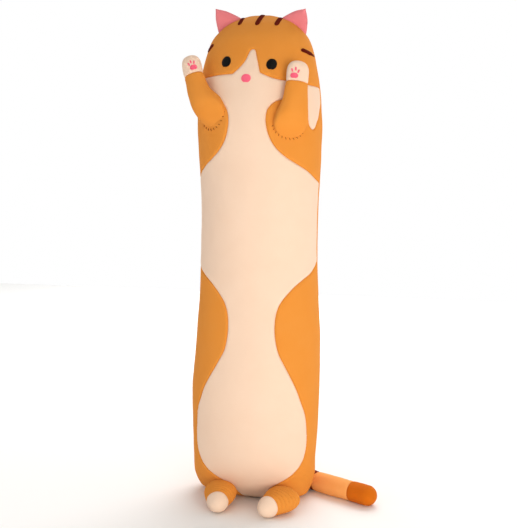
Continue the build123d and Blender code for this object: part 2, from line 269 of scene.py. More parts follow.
def cover_point(turn, up, lift=0.0):
    """One point on the finished cover, lifted off it, in metres."""
    t, m = np.array([float(turn)]), np.array([float(up)])
    girth = np.interp(m, climb, profile[:, 1])
    n = form_normal(t, m)[0]
    return Vector((on_form(t, m)[0] + n * (lie_of_cover(t, m, girth)[0] + lift)) / 1000)


def inside(points, outline):
    hit = np.zeros(len(points), bool)
    x, y = points[:, 0], points[:, 1]
    for (x0, y0), (x1, y1) in zip(outline, np.roll(outline, -1, 0)):
        if y0 != y1:
            cross = ((y0 > y) != (y1 > y)) & (x < (x1 - x0) * (y - y0) / (y1 - y0) + x0)
            hit ^= cross
    return hit


def mesh_object(name, points, faces, material):
    """A mesh piece from points in metres, smooth, with one material."""
    mesh = bpy.data.meshes.new(name)
    mesh.from_pydata([tuple(p) for p in points], [], faces)
    mesh.update()
    mesh.polygons.foreach_set("use_smooth", [True] * len(mesh.polygons))
    mesh.materials.append(material)
    obj = bpy.data.objects.new(name, mesh)
    bpy.context.scene.collection.objects.link(obj)
    return obj


CLOTH = 1.5


def cover_patch(name, outline, material):
    """One cut of the cover: a thin closed piece over the form, inside an unrolled outline."""
    outline = np.array(outline)
    keep = np.hypot(*(outline - np.roll(outline, 1, 0)).T) > 0.2
    outline = outline[keep]
    low, high = outline.min(0), outline.max(0)
    grid = []
    for step, near, far in ((3.0, 1.6, 10.0), (5.6, 10.0, 1e9)):
        rows = np.arange(low[1], high[1], step * 0.866)
        for r, y in enumerate(rows):
            xs = np.arange(low[0] + (r % 2) * step / 2, high[0], step)
            g = np.stack([xs, np.full(len(xs), y)], -1)
            grid.append(np.hstack([g, np.full((len(g), 1), near), np.full((len(g), 1), far)]))
    grid = np.vstack(grid)
    grid = grid[inside(grid[:, :2], outline)]
    tree = kdtree.KDTree(len(outline))
    for i, (x, y) in enumerate(outline):
        tree.insert((x, y, 0), i)
    tree.balance()
    far = np.array([tree.find((x, y, 0))[2] for x, y in grid[:, :2]])
    grid = grid[(far > grid[:, 2]) & (far <= grid[:, 3]), :2]
    flat = [Vector(p) for p in np.vstack([outline, grid])]
    ring = [(i, (i + 1) % len(outline)) for i in range(len(outline))]
    flat, _, triangles, *_ = geometry.delaunay_2d_cdt(flat, ring, [], 1, 1e-5)
    uv = np.array([tuple(p) for p in flat])
    turn, up = np.degrees(uv[:, 0] / UNROLL), uv[:, 1]
    girth = np.interp(up, climb, profile[:, 1])
    bare, normal = on_form(turn, up), form_normal(turn, up)
    off = lie_of_cover(turn, up, girth)[:, None]
    outer, inner = bare + normal * off, bare + normal * (off - CLOTH)
    outer[:, 2] = np.maximum(outer[:, 2], 0)
    inner[:, 2] = np.maximum(inner[:, 2], 0.9)
    count = len(uv)
    faces = []
    border = {}
    for a, b, c in triangles:
        area = (uv[b][0] - uv[a][0]) * (uv[c][1] - uv[a][1]) - (uv[c][0] - uv[a][0]) * (uv[b][1] - uv[a][1])
        if area < 0:
            b, c = c, b
        faces += [(a, b, c), (a + count, c + count, b + count)]
        for i, j in ((a, b), (b, c), (c, a)):
            if (j, i) in border:
                del border[(j, i)]
            else:
                border[(i, j)] = True
    faces += [(j, i, i + count, j + count) for i, j in border]
    return mesh_object(name, np.vstack([outer, inner]) / 1000, faces, material)


# ------------------------------------------------------------------ short-pile plush
# Velour knitted in polyester and sheared to a pile of about a millimetre. It has no gloss, a soft
# light bloom at grazing angles, and faint lighter and darker brushings where the nap lies over.
def linear(colour):
    channels = [int(colour[i:i + 2], 16) / 255 for i in (1, 3, 5)]
    return (*[c / 12.92 if c <= 0.04045 else ((c + 0.055) / 1.055) ** 2.4 for c in channels], 1)


def add(tree, kind, settings, links=()):
    """Adds a node; settings are its properties or sockets, links are (input, node, output)."""
    node = tree.nodes.new(kind)
    for key, value in settings.items():
        if hasattr(node, key):
            setattr(node, key, value)
        else:
            node.inputs[key].default_value = value
    for socket, source, output in links:
        tree.links.new(source.outputs[output], node.inputs[socket])
    return node


PILE_MM, BRUSHING_MM = 1.6, 45  # the pile is drawn half again as coarse as it is, so that it shows


def plush(name, colour, lying, sheen, sheen_colour="#FFFFFF"):
    """Sheared velour: its colour, and the colour where the nap lies the other way."""
    material = bpy.data.materials.new(name)
    material.use_nodes = True
    tree = material.node_tree
    tree.nodes.clear()
    place = add(tree, "ShaderNodeTexCoord", {})
    brush = add(tree, "ShaderNodeTexNoise", {"Scale": 1000 / BRUSHING_MM, "Detail": 3.0},
                [("Vector", place, "Object")])
    fibre = add(tree, "ShaderNodeTexNoise", {"Scale": 1000 / PILE_MM, "Detail": 2.0},
                [("Vector", place, "Object")])
    shade = add(tree, "ShaderNodeMix", {"data_type": "RGBA"}, [(0, brush, "Fac")])
    shade.inputs[6].default_value, shade.inputs[7].default_value = linear(colour), linear(lying)
    bump = add(tree, "ShaderNodeBump", {"Strength": 0.35, "Distance": 0.0007}, [("Height", fibre, "Fac")])
    skin = add(tree, "ShaderNodeBsdfPrincipled",
               {"Roughness": 0.95, "Specular IOR Level": 0.12, "Sheen Weight": sheen,
                "Sheen Roughness": 0.45, "Sheen Tint": linear(sheen_colour)},
               [("Base Color", shade, 2), ("Normal", bump, "Normal")])
    add(tree, "ShaderNodeOutputMaterial", {}, [("Surface", skin, "BSDF")])
    return material


orange_plush = plush("velour_sheared_orange", "#DF8B34", "#E1923F", 0.06, "#FFC98A")
cream_plush = plush("velour_sheared_cream", "#EFD3BC", "#ECCDB4", 0.08, "#FFF0DC")


def finish_cover(piece, slot, *nodes):
    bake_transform(piece)
    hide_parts(*nodes)
    return piece


def belly_half(name):
    """The belly's outline on one side, from the blaze's tip down to the foot."""
    e = edges[name]
    x = e["x"]
    return np.vstack([
        e["mask"],
        straight(e["mask"][-1], e["outer"][-1]),
        e["outer"][::-1],
        e["inner"][::-1],
        straight(e["inner"][0], e["hip"][0]),
        e["hip"],
    ])


belly = cover_patch("belly_cover", np.vstack([belly_half("left"), belly_half("right")[::-1]]), cream_plush)
finish_cover(belly, "cream_plush", "belly_panel", "lower_body_filling", "waist_filling",
             "upper_body_filling")

# ------------------------------------------------------------------ the head's front
# An orange cut from the top seam down to the cheeks, notched for the blaze.
left_x, right_x = edges["left"]["x"], edges["right"]["x"]
mask_line = np.vstack([edges["right"]["mask"][::-1], edges["left"]["mask"]])
head_outline = np.vstack([
    mask_line,
    straight(mask_line[-1], (left_x, TOP)),
    straight((left_x, TOP), (right_x, TOP)),
    straight((right_x, TOP), mask_line[0]),
])
head = cover_patch("head_front_cover", head_outline, orange_plush)
finish_cover(head, "orange_plush", "head_front_panel")

# ------------------------------------------------------------------ shoulders and hips
# Orange cuts set into the belly's sides. Each shoulder ends in a point beside the arm, and each
# hip runs under the foot.
for name, side in (("right", -1), ("left", 1)):
    e = edges[name]
    shoulder_outline = np.vstack([e["inner"], e["outer"][1:], straight(e["outer"][-1], e["inner"][0])])
    piece = cover_patch(f"{name}_shoulder_cover", shoulder_outline, orange_plush)
    finish_cover(piece, "orange_plush", f"{name}_shoulder_panel")
    hip_outline = np.vstack([
        e["hip"],
        straight(e["hip"][-1], (e["x"], FOOT)),
        straight((e["x"], FOOT), e["hip"][0]),
    ])
    piece = cover_patch(f"{name}_hip_cover", hip_outline, orange_plush)
    finish_cover(piece, "orange_plush", f"{name}_hip_panel")

# ------------------------------------------------------------------ the back
# One plain orange cut from the top seam to the foot.
back_right, back_left = pi / 2 * UNROLL, 3 * pi / 2 * UNROLL
back_outline = np.vstack([
    straight((back_right, FOOT), (back_left, FOOT)),
    straight((back_left, FOOT), (back_left, TOP)),
    straight((back_left, TOP), (back_right, TOP)),
    straight((back_right, TOP), (back_right, FOOT)),
])
back = cover_patch("back_cover", back_outline, orange_plush)
finish_cover(back, "orange_plush", "back_panel")

# ------------------------------------------------------------------ arms
# Each is a stuffed tube of orange plush with a cream paw sewn over its end. The open end is spread
# down over the shoulder and sewn on all round, so the arm rises out of the shoulder patch.
def ring_solid(name, rings, material):
    """A closed piece through rings of points (millimetres), with a fan over each end."""
    rings = np.array(rings) / 1000
    count, around, _ = rings.shape
    points = np.vstack([rings.reshape(-1, 3), rings[0].mean(0), rings[-1].mean(0)])
    faces = []
    for i in range(count - 1):
        for j in range(around):
            k = (j + 1) % around
            faces.append((i * around + j, i * around + k, (i + 1) * around + k, (i + 1) * around + j))
    first, last = count * around, count * around + 1
    for j in range(around):
        k = (j + 1) % around
        faces.append((first, k, j))
        faces.append((last, (count - 1) * around + j, (count - 1) * around + k))
    volume = sum(np.dot(points[f[0]], np.cross(points[f[1]], points[f[2]]))
                 + (np.dot(points[f[0]], np.cross(points[f[2]], points[f[3]])) if len(f) == 4 else 0)
                 for f in faces)
    if volume < 0:
        faces = [f[::-1] for f in faces]
    return mesh_object(name, points, faces, material)


def seam_roll(distance, depth=2.3, width=5.5):
    """How far a filled cover rounds inwards beside a seam."""
    near = np.clip(np.abs(distance) / width, 0, 1)
    return depth * (1 - np.sqrt(np.maximum(0, 1 - (1 - near) ** 2)))


def stations(start, end, step, seams=()):
    """Distances from start to end, closer together beside the seams."""
    out, s = [], start
    while s < end - 0.2:
        out.append(s)
        s += step if all(abs(s - m) > 6 for m in seams) else 0.8
    return out + [end]


def stitch_free_solid(name, sections, frame_at, low, high, seams, ripple, material, around=96):
    """A stretch of a stuffed limb: sections are (s, half width, half thickness, shift, squareness)."""
    table = smooth_line(sections, 1.0)
    table[:, 0] = np.maximum.accumulate(table[:, 0])
    angles = np.arange(around) / around * 2 * pi
    rings = []
    for s in stations(low, high, 1.5, seams):
        w, t, shift, square = (np.interp(s, table[:, 0], table[:, i]) for i in range(1, 5))
        roll = sum(float(seam_roll(s - m)) for m in seams)
        sx, cx = np.sin(angles), np.cos(angles)
        power = np.where(cx < 0, 1 - 0.6 * square, 1.0)
        x = (w - roll) * np.sign(sx) * np.abs(sx) ** power
        n = (t - roll) * np.sign(cx) * np.abs(cx) ** power
        n = n - np.where(cx < 0, square * np.abs(cx) ** 0.4 * (3.5 + x * x / 240), 0)
        scale = 1 + ripple(angles, s) / max(6.0, (w + t) / 2)
        rings.append([frame_at(x[i] * scale[i], n[i] * scale[i] + shift, s) for i in range(around)])
    return ring_solid(name, rings, material)


ARM_TURN = {"right": -37, "left": 39}  # degrees round from the front
ARM_HEIGHT = {"right": 825, "left": 796}
ARM_LEAN = {"right": 24, "left": 6}  # degrees outwards
ARM_TILT = {"right": 5, "left": 0}  # degrees away from the body
ARM_BOW = {"right": 6, "left": 1.0}
ARM_SKEW = {"right": 0.22, "left": 0.0}  # how far the paw's seam is turned from square to the arm
ARM_FOOT = {"right": 1.0, "left": 0.76}  # how far the sleeve's lower end is spread down the shoulder
ARM_THICK, ARM_END, CUFF = 19.0, 121, 78
# along the arm, half width, half thickness, how far it sinks into the shoulder, squareness
ARM_SECTIONS = [(-42, 4, 1.5, -19, 1), (-41, 9, 2.5, -19, 1), (-38, 16.5, 4.2, -18.8, 1),
                (-32, 24.5, 7, -17.8, 1), (-24, 30.5, 10.5, -15.6, 1), (-14, 34, 14, -12.4, 1),
                (-4, 35, 16.6, -8.8, 1), (8, 34, 18.4, -4.8, 0.9), (20, 31.4, 19, -1.8, 0.7),
                (32, 28.2, 19, -0.4, 0.4), (44, 26, 18.7, 0, 0.15), (56, 24.4, 18, 0, 0),
                (68, 23.4, 17.6, 0, 0), (79, 23, 17.4, 0, 0), (90, 23, 17.3, 0, 0), (102, 22.6, 17, 0, 0),
                (109, 21.2, 16, 0, 0), (114.5, 18.2, 13.8, 0, 0), (118, 14, 10.6, 0, 0),
                (120.2, 7.8, 6, 0, 0), (121, 1, 1, 0, 0)]
arm_frames = {}
for name, side in (("right", -1), ("left", 1)):
    turn, up = np.array([float(ARM_TURN[name])]), np.array([climb_at(ARM_HEIGHT[name])])
    foot_of_arm, away_from = Vector(on_form(turn, up)[0]), Vector(form_normal(turn, up)[0])
    level = Vector((-away_from.y, away_from.x, 0)).normalized() * side
    rise = level.cross(away_from).normalized()
    rise = rise if rise.z > 0 else -rise
    lean, tilt = radians(ARM_LEAN[name]), radians(ARM_TILT[name])
    flat = rise * cos(lean) + level * sin(lean)
    along, outward = flat * cos(tilt) + away_from * sin(tilt), level * cos(lean) - rise * sin(lean)
    off_body = away_from * cos(tilt) - flat * sin(tilt)
    arm_frames[name] = (foot_of_arm + away_from * (ARM_THICK - 4), outward, off_body, along, ARM_BOW[name])


def arm_place(name):
    root, outward, away_from, along, bow = arm_frames[name]

    def place(x, n, s):
        t = min(1.0, max(0.0, (s + 10) / 135))
        s = (s if s > 0 else s * ARM_FOOT[name]) + ARM_SKEW[name] * x * t
        x = x + bow * 4 * t * (1 - t)
        return tuple(root + outward * x + away_from * n + along * s)
    return place


def arm_ripple(angles, s):
    """Small gathers where the sleeve is sewn down, and faint softness elsewhere."""
    at_base = np.clip(-np.cos(angles) + 0.1, 0, 1) * max(0.0, 1 - max(0.0, s) / 34)
    gathers = np.sin(angles * 26 + s * 0.3) * 0.5 + np.sin(angles * 11 + s * 0.21)
    soft = np.array([noise.noise((sin(a) * 1.3, cos(a) * 1.3, s / 26)) for a in angles])
    cuff = np.exp(-abs(s - CUFF) / 5) * np.sin(angles * 21) * 0.3
    return at_base * gathers * 0.8 + soft * 0.9 + cuff


for name in ("right", "left"):
    place = arm_place(name)
    sleeve = stitch_free_solid(f"{name}_arm_sleeve_cover", ARM_SECTIONS, place, ARM_SECTIONS[0][0], CUFF,
                               (CUFF,), arm_ripple, orange_plush)
    paw = stitch_free_solid(f"{name}_paw_end", ARM_SECTIONS, place, CUFF, ARM_END, (CUFF,), arm_ripple,
                            cream_plush)
    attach(sleeve, f"{name}_arm")
    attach(paw, f"{name}_arm")
    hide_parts(f"{name}_arm_sleeve", f"{name}_arm_filling")
    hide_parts(f"{name}_paw_cover")

# ------------------------------------------------------------------ legs
# Short stuffed tubes sewn to the foot of the hips. They are wide at the root, lie forward on the
# floor, and end in a cream foot. The sleeve is cut long, so it rucks up in rings above the foot.
LEG_ROOT = {"right": (-48, -98), "left": (85, -99)}
LEG_TOE = {"right": (-39.5, -146), "left": (66, -144)}
LEG_ROOT_HEIGHT, LEG_TOE_HEIGHT = 25.5, 22.5
LEG_WIDE = {"right": 0.95, "left": 1.05}  # the left leg's root is spread wider
LEG_SECTIONS = [(-26, 3, 2, 0, 0), (-25, 14, 9, 0, 0), (-20, 28, 18, 0, 0), (-10, 35, 23, 0, 0),
                (2, 36, 24.5, 0, 0), (13, 34, 24.6, 0, 0), (23, 30.5, 24, 0, 0), (34, 26, 23, 0, 0),
                (44, 23, 21.8, 0, 0), (51, 22, 21, 0, 0), (58, 19.4, 18.8, 0, 0), (64, 16, 15.6, 0, 0),
                (69.5, 11.5, 11.3, 0, 0), (72.5, 7, 7, 0, 0), (73.6, 3.5, 3.5, 0, 0), (74, 1, 1, 0, 0)]
FOOT_SEAM = 45


def leg_ripple(angles, s):
    up_side = 0.35 + 0.65 * np.clip(np.cos(angles) + 0.35, 0, 1)
    wander = 0.5 * np.sin(angles * 2 + 1) + 0.25 * np.sin(angles * 5)
    rucks = 2 * np.sqrt(np.abs(np.sin(s / 8.2 * pi + wander))) - 2
    window = max(0.0, min(1.0, (s + 16) / 12)) * max(0.0, min(1.0, (FOOT_SEAM + 2 - s) / 10))
    soft = np.array([noise.noise((sin(a) * 1.2, cos(a) * 1.2, s / 24)) for a in angles])
    return rucks * 2.3 * window * up_side + soft * 0.6


def leg_place(name):
    root = Vector((*LEG_ROOT[name], LEG_ROOT_HEIGHT))
    toe = Vector((*LEG_TOE[name], LEG_TOE_HEIGHT))
    along = (toe - root).normalized()
    across = along.cross(Vector((0, 0, 1))).normalized()
    upward = across.cross(along)

    def place(x, n, s):
        wide = 1 + (LEG_WIDE[name] - 1) * min(1, max(0, (FOOT_SEAM - s) / 30))
        p = root + across * x * wide + upward * n + along * s
        return p.x, p.y, max(p.z, 0.2)
    return place


for name in ("right", "left"):
    place = leg_place(name)
    sleeve = stitch_free_solid(f"{name}_leg_sleeve_cover", LEG_SECTIONS, place, -26, FOOT_SEAM, (FOOT_SEAM,),
                               leg_ripple, orange_plush)
    foot = stitch_free_solid(f"{name}_foot_end", LEG_SECTIONS, place, FOOT_SEAM, 74, (FOOT_SEAM,),
                             leg_ripple, cream_plush)
    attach(sleeve, f"{name}_leg")
    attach(foot, f"{name}_leg")
    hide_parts(f"{name}_leg_sleeve", f"{name}_leg_filling")
    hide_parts(f"{name}_foot_cover")

# ------------------------------------------------------------------ tail
# A round tube of plush in four lengths sewn end to end: light orange at the root, a dark brown
# band, light orange again, and a caramel tip. It lies on the floor, behind the toy and beside it.
TAIL_RADIUS = 20.8
TAIL_PATH = [(14, 112, 20.5), (46, 107, 20.5), (75, 94, 20.5), (105, 71, 20.5), (133, 48, 20.5),
             (191, 17, 20.5), (250, -13, 20.5)]
TAIL_SEAMS = (0.29, 0.508, 0.852)
tail_line = smooth_line(TAIL_PATH, 2.0)
tail_run = np.concatenate([[0], np.cumsum(np.linalg.norm(np.diff(tail_line, axis=0), axis=1))])
TAIL_LONG = tail_run[-1]
brown_plush = plush("velour_sheared_brown", "#6A1F06", "#7A290B", 0.08, "#D08A60")
caramel_plush = plush("velour_sheared_caramel", "#CB640A", "#D07018", 0.10, "#FFC880")
light_plush = plush("velour_sheared_light_orange", "#F5A75A", "#F6AF68", 0.10, "#FFE2BA")


def tail_ring(s, radius, around=72):
    inside_run = min(max(s, 0.0), TAIL_LONG)
    at = Vector(np.array([np.interp(inside_run, tail_run, tail_line[:, i]) for i in range(3)]))
    ahead = Vector(np.array([np.interp(min(inside_run + 2, TAIL_LONG), tail_run, tail_line[:, i])
                             for i in range(3)]))
    behind = Vector(np.array([np.interp(max(inside_run - 2, 0), tail_run, tail_line[:, i])
                              for i in range(3)]))
    along = (ahead - behind).normalized()
    at += along * (s - inside_run)
    across = along.cross(Vector((0, 0, 1))).normalized()
    upward = across.cross(along)
    ring = []
    for j in range(around):
        a = j / around * 2 * pi
        soft = 0.8 * noise.noise((sin(a) * 1.1, cos(a) * 1.1, s / 28)) + 0.3 * noise.noise((a * 3, s / 7, 0))
        r = radius + soft
        p = at + across * (r * sin(a)) + upward * (r * cos(a))
        ring.append((p.x, p.y, max(p.z, 0.2)))
    return ring


tail_cuts = [-TAIL_RADIUS * 0.8] + [c * TAIL_LONG for c in TAIL_SEAMS] + [TAIL_LONG + TAIL_RADIUS]
tail_pieces = (("tail_root_cover", "tail_root_sleeve", light_plush, "orange_plush"),
               ("tail_band_cover", "tail_band", brown_plush, "brown_plush"),
               ("tail_middle_cover", "tail_middle_sleeve", light_plush, "orange_plush"),
               ("tail_tip_end", "tail_tip_cover", caramel_plush, "caramel_plush"))
for k, (name, node, material, slot) in enumerate(tail_pieces):
    low, high = tail_cuts[k], tail_cuts[k + 1]
    rings = []
    for s in stations(low, high, 2.0, tail_cuts):
        r = TAIL_RADIUS + 0.7 * sin(pi * (s - low) / (high - low))
        r -= sum(float(seam_roll(s - m, 2.1)) for m in tail_cuts[1:-1])
        if s > TAIL_LONG:
            r *= sqrt(max(0.002, 1 - ((s - TAIL_LONG) / TAIL_RADIUS) ** 2))
        if s < 0:
            r *= sqrt(max(0.002, 1 - (s / (TAIL_RADIUS * 0.8)) ** 2))
        rings.append(tail_ring(s, r))
    piece = ring_solid(name, rings, material)
    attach(piece, "tail")
    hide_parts(node, *(["tail_filling"] if k == 0 else []))

# ------------------------------------------------------------------ ears
# Small padded triangles, pink in front and orange behind, caught in the seam over the head.
ear_plush = plush("velour_sheared_pink", "#E57A80", "#E5868A", 0.08, "#FFC8C4")
EAR_CORNERS = {"right": [(-95, 999.5), (-102, 1051), (-46, 1029)],
               "left": [(97.5, 992), (96.5, 1042.5), (47, 1026.5)]}
EAR_PUFF, EAR_EDGE_WIDE = 7.5, 17  # how far each face bulges, and how wide its rounded rim is
EAR_SINK = 7  # how far the ear's edge runs down into the head's seam


def ear_outline(name):
    """Bowed sides and a small round tip, from the outer corner over the tip to the inner corner."""
    outer, tip, inner = (Vector(p) for p in EAR_CORNERS[name])
    middle = (outer + inner) / 2
    down = ((middle - tip).normalized()) * EAR_SINK
    a, b = outer + (tip - outer) * 0.5, inner + (tip - inner) * 0.5
    a += (a - middle).normalized() * 3.0
    b += (b - middle).normalized() * 3.0
    near_a, near_b = tip + (outer - tip).normalized() * 5, tip + (inner - tip).normalized() * 5
    crown = tip + (middle - tip).normalized() * 1.2
    line = smooth_line([outer + down, outer, a, near_a, crown, near_b, b, inner, inner + down], 1.5)
    base = straight(line[-1], line[0], 1.5)[1:-1]
    return np.vstack([line, base])


def ear_half(name, way, material):
    """One face of an ear: bulged forwards (way 1) or backwards (way -1), flat where they meet."""
    outline = ear_outline(name)
    low, high = outline.min(0), outline.max(0)
    xs, zs = np.meshgrid(np.arange(low[0], high[0], 2.0), np.arange(low[1], high[1], 2.0))
    grid = np.stack([xs.ravel() + (np.round(zs.ravel() / 2) % 2), zs.ravel()], -1)
    grid = grid[inside(grid, outline)]
    edge = kdtree.KDTree(len(outline))
    for i, (x, z) in enumerate(outline):
        edge.insert((x, z, 0), i)
    edge.balance()
    far = np.array([edge.find((x, z, 0))[2] for x, z in grid])
    grid = grid[far > 0.9]
    ring = [(i, (i + 1) % len(outline)) for i in range(len(outline))]
    flat, _, triangles, *_ = geometry.delaunay_2d_cdt([Vector(p) for p in np.vstack([outline, grid])],
                                                      ring, [], 1, 1e-5)
    bulged, middle = [], []
    for x, z in flat:
        gap = edge.find((x, z, 0))[2]
        puff = EAR_PUFF * sqrt(1 - (1 - min(1, gap / EAR_EDGE_WIDE)) ** 2)
        puff += 0.35 * noise.noise((x / 9, z / 9, way * 5))
        curl = 0.0016 * (z - low[1]) ** 2
        bulged.append((x, -way * puff - curl, z))
        middle.append((x, way * 0.05 - curl, z))
    count, faces, border = len(flat), [], {}
    for a, b, c in triangles:
        faces += [(a, b, c), (a + count, c + count, b + count)]
        for i, j in ((a, b), (b, c), (c, a)):
            if (j, i) in border:
                del border[(j, i)]
            else:
                border[(i, j)] = True
    faces += [(j, i, i + count, j + count) for i, j in border]
    points = np.array(bulged + middle) / 1000
    volume = sum(np.dot(points[f[0]], np.cross(points[f[1]], points[f[2]])) for f in faces if len(f) == 3)
    if volume < 0:
        faces = [f[::-1] for f in faces]
    return mesh_object(f"{name}_ear_{'front' if way > 0 else 'back'}_half", points, faces, material)


for name in ("right", "left"):
    front_half = ear_half(name, 1, ear_plush)
    back_half = ear_half(name, -1, orange_plush)
    for piece, slot, nodes in ((front_half, "ear_pink_plush", (f"{name}_ear_front", f"{name}_ear_padding")),
                               (back_half, "orange_plush", (f"{name}_ear_back",))):
        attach(piece, f"{name}_ear")
        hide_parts(*nodes)

# ------------------------------------------------------------------ embroidery thread
# Rayon thread laid side by side in satin stitch, so each shape stands up from the plush as a
# smooth, slightly glossy pad. Hand stitches use one strand of matt polyester.
def thread_material(name, colour, rough):
    material = bpy.data.materials.new(name)
    material.use_nodes = True
    tree = material.node_tree
    tree.nodes.clear()
    place = add(tree, "ShaderNodeTexCoord", {})
    twist = add(tree, "ShaderNodeTexNoise", {"Scale": 900.0, "Detail": 1.0}, [("Vector", place, "Object")])
    bump = add(tree, "ShaderNodeBump", {"Strength": 0.15, "Distance": 0.0003}, [("Height", twist, "Fac")])
    skin = add(tree, "ShaderNodeBsdfPrincipled",
               {"Base Color": linear(colour), "Roughness": rough, "Specular IOR Level": 0.12},
               [("Normal", bump, "Normal")])
    add(tree, "ShaderNodeOutputMaterial", {}, [("Surface", skin, "BSDF")])
    return material


def thread_tree():
    """Turns loose lines into round thread: inputs are the thread's radius and its material."""
    tree = bpy.data.node_groups.new("threads", "GeometryNodeTree")
    face = tree.interface
    face.new_socket("Geometry", in_out="INPUT", socket_type="NodeSocketGeometry")
    radius = face.new_socket("Thread radius", in_out="INPUT", socket_type="NodeSocketFloat")
    paint = face.new_socket("Thread material", in_out="INPUT", socket_type="NodeSocketMaterial")
    face.new_socket("Geometry", in_out="OUTPUT", socket_type="NodeSocketGeometry")
    start, end = tree.nodes.new("NodeGroupInput"), tree.nodes.new("NodeGroupOutput")
    line = add(tree, "GeometryNodeMeshToCurve", {}, [("Mesh", start, "Geometry")])
    circle = add(tree, "GeometryNodeCurvePrimitiveCircle", {"Resolution": 8},
                 [("Radius", start, "Thread radius")])
    tube = add(tree, "GeometryNodeCurveToMesh", {"Fill Caps": True},
               [("Curve", line, "Curve"), ("Profile Curve", circle, "Curve")])
    real = add(tree, "GeometryNodeRealizeInstances", {}, [("Geometry", tube, "Mesh")])
    dyed = add(tree, "GeometryNodeSetMaterial", {},
               [("Geometry", real, "Geometry"), ("Material", start, "Thread material")])
    tree.links.new(dyed.outputs["Geometry"], end.inputs[0])
    return tree, radius.identifier, paint.identifier


THREADS, THREAD_RADIUS, THREAD_MATERIAL = thread_tree()


def threads(name, lines, radius, material):
    """A piece made of round threads along lines of points in metres."""
    points = [tuple(p) for line in lines for p in line]
    links, at = [], 0
    for line in lines:
        links += [(at + k, at + k + 1) for k in range(len(line) - 1)]
        at += len(line)
    mesh = bpy.data.meshes.new(f"{name}_lines")
    mesh.from_pydata(points, links, [])
    source = bpy.data.objects.new(f"{name}_lines", mesh)
    bpy.context.scene.collection.objects.link(source)
    modifier = source.modifiers.new("threads", "NODES")
    modifier.node_group = THREADS
    modifier[THREAD_RADIUS] = radius / 1000
    modifier[THREAD_MATERIAL] = material
    bpy.context.view_layer.update()
    solid = bpy.data.meshes.new_from_object(source.evaluated_get(bpy.context.evaluated_depsgraph_get()))
    solid.name = name
    solid.polygons.foreach_set("use_smooth", [True] * len(solid.polygons))
    bpy.data.objects.remove(source)
    obj = bpy.data.objects.new(name, solid)
    bpy.context.scene.collection.objects.link(obj)
    return obj


def satin(spine, half_wide, on_surface, pitch=0.95, rise=1.3):
    """Threads across a spine: half_wide(0..1) in mm, on_surface(across, along, lift) in metres."""
    spine = smooth_line(spine, 0.5)
    far = np.concatenate([[0], np.cumsum(np.hypot(*np.diff(spine, axis=0).T))])
    lines = []
    count = max(3, round(far[-1] / pitch))
    for k in range(count + 1):
        f = k / count
        at = np.array([np.interp(f * far[-1], far, spine[:, i]) for i in (0, 1)])
        ahead = np.array([np.interp(min(far[-1], f * far[-1] + 1), far, spine[:, i]) for i in (0, 1)])
        behind = np.array([np.interp(max(0, f * far[-1] - 1), far, spine[:, i]) for i in (0, 1)])
        way = (ahead - behind) / np.hypot(*(ahead - behind))
        side = np.array([way[1], -way[0]])
        w = half_wide(f)
        if w < 0.4:
            continue
        lines.append([on_surface(*(at + side * w * t), 0.1 + rise * sqrt(max(0, 1 - t * t)) * min(1, w / 2))
                      for t in (-1, -0.8, -0.4, 0, 0.4, 0.8, 1)])
    return lines


def on_head(across, along, lift):
    """The face's pattern in mm from the nose, laid on the cover."""
    turn, up = face_place(across, along)
    return cover_point(turn, up, lift)


def on_crown(x, z, lift):
    """A place on the head's front from its sideways and upright position in mm."""
    up = float(climb_at(z))
    a = float(np.interp(up, climb, profile[:, 1]))
    return cover_point(degrees(asin(max(-1.0, min(1.0, (x - SWAY[-1][1]) / a)))), up, lift)


def disc(centre_x, centre_z, wide, high):
    """An upright spine and its width for an oval shape."""
    spine = [(centre_x, centre_z + high * (0.5 - k / 6)) for k in range(7)]
    return spine, lambda f: wide / 2 * sqrt(max(0.0, 1 - (2 * f - 1) ** 2))


black_thread = thread_material("rayon_thread_black", "#050706", 0.42)
rose_thread = thread_material("rayon_thread_rose", "#F56A86", 0.5)
umber_thread = thread_material("rayon_thread_umber", "#641704", 0.85)
sewing_thread = thread_material("polyester_thread_brown", "#8A3F12", 0.75)

# ------------------------------------------------------------------ eyes, nose and stripes
# Satin stitch on the head: round black eyes, an oval rose nose, three umber stripes down from the
# top seam, and one pointed umber stripe on each cheek.
face_pieces = []
for name, across in (("right", -49.0), ("left", 47.5)):
    spine, wide = disc(across, 32.5, 20.5, 22.6)
    face_pieces.append((f"{name}_eye_stitching", satin(spine, wide, on_head), black_thread,
                        "black_embroidery", f"{name}_eye"))
spine, wide = disc(0.8, -0.6, 19.8, 16.8)
face_pieces.append(("nose_stitching", satin(spine, wide, on_head), rose_thread, "pink_embroidery", "nose"))
crown_lines = []
for low, high, wide in (((-38.9, 1006), (-39.4, 1026), 8.5), ((1.2, 1002.5), (2.4, 1032), 10),
                        ((41.4, 1001), (43.4, 1023.5), 9)):
    rounded = lambda f, w=wide: w / 2 * sqrt(max(0.05, 1 - (1 - min(1, f * 4)) ** 2))
    crown_lines += satin([low, ((low[0] + high[0]) / 2, (low[1] + high[1]) / 2), high], rounded, on_crown)
face_pieces.append(("crown_stripe_stitching", crown_lines, umber_thread, "brown_embroidery",
                    "crown_stripes"))
cheek_lines = []
for blunt, point in (((95.8, 948.5), (117.3, 941)), ((-93.5, 965.5), (-110, 953))):
    pointed = lambda f: 3.7 * min(1, (1 - f) * 3 + 0.1) * sqrt(max(0.05, 1 - (1 - min(1, f * 8)) ** 2))
    middle = ((blunt[0] + point[0]) / 2, (blunt[1] + point[1]) / 2 + 0.8)
    cheek_lines += satin([blunt, middle, point], pointed, on_crown)
face_pieces.append(("cheek_stripe_stitching", cheek_lines, umber_thread, "brown_embroidery",
                    "cheek_stripes"))
for name, lines, material, slot, node in face_pieces:
    piece = threads(name, lines, 0.72, material)
    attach(piece, "upper_body")
    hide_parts(node)

